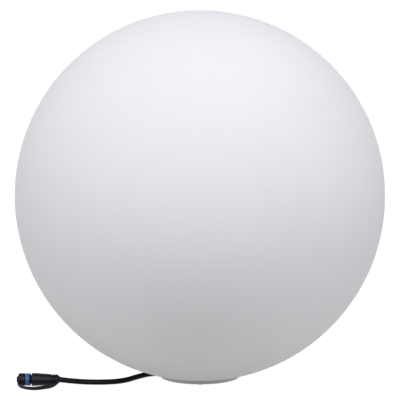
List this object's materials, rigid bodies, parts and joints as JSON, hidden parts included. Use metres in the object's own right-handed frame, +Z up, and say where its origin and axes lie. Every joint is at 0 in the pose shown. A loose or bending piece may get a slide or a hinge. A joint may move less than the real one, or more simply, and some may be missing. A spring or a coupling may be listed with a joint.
{
  "type": "garden globe light",
  "caption": "White hollow globe on a short round foot, lit from a sealed column inside, with a rubber cord that ends in a capped low-voltage plug.",
  "frame": {"origin": "middle of the foot, on the ground under the rubber feet", "axes": "+Z up along the globe's axis; the cord leaves the foot towards -X and the plug lies at -X, -Y"},
  "size_m": [0.3999, 0.4, 0.399],
  "materials": {
    "globe_plastic": "satin white translucent polyethylene",
    "grey_plastic": "fine grained grey moulding",
    "black_plastic": "fine grained black moulding",
    "navy_plastic": "smooth dark blue-black moulding",
    "black_rubber": "smooth black rubber with a soft sheen",
    "blue_rubber": "satin blue sealing rubber",
    "clear_seal": "pale silicone",
    "steel": "plain stainless steel",
    "brass": "plain turned brass",
    "aluminium": "plain machined aluminium",
    "board": "green solder mask",
    "lamp_board": "white solder mask on aluminium",
    "component": "dark moulded components",
    "led": "yellow phosphor in a white package",
    "diffuser": "frosted opal plastic",
    "core": "insulated cores"
  },
  "bodies": {
    "light": {"globe_shell": "globe_plastic", "neck_inserts": "brass", "base_gasket": "black_rubber", "base_housing": "grey_plastic", "base_screws": "steel", "rubber_feet": "black_rubber", "gland_body": "black_plastic", "gland_locknut": "black_plastic", "gland_seal": "black_rubber", "gland_nut": "black_plastic", "supply_cores": "core", "driver_board": "board", "driver_screws": "steel", "terminal_block": "component", "driver_choke": "component", "driver_capacitors": "component", "driver_chips": "component", "heat_sink": "aluminium", "heat_sink_seal": "clear_seal", "heat_sink_screws": "steel", "thermal_pad": "clear_seal", "led_board": "lamp_board", "leds": "led", "led_wires": "core", "led_screws": "steel", "diffuser_dome": "diffuser", "dome_seal": "clear_seal", "cord": "black_rubber", "plug_body": "black_rubber", "plug_insert": "navy_plastic", "plug_contacts": "brass", "plug_seal": "blue_rubber", "cap_strap": "black_rubber"},
    "cap": {"plug_cap": "black_plastic"}
  },
  "joints": [
    {"name": "cap_pull", "type": "slide", "parent": "light", "child": "cap", "axis": [-1, 0, 0], "range_m": [0, 0.03], "deforming": ["cap_strap"]}
  ]
}
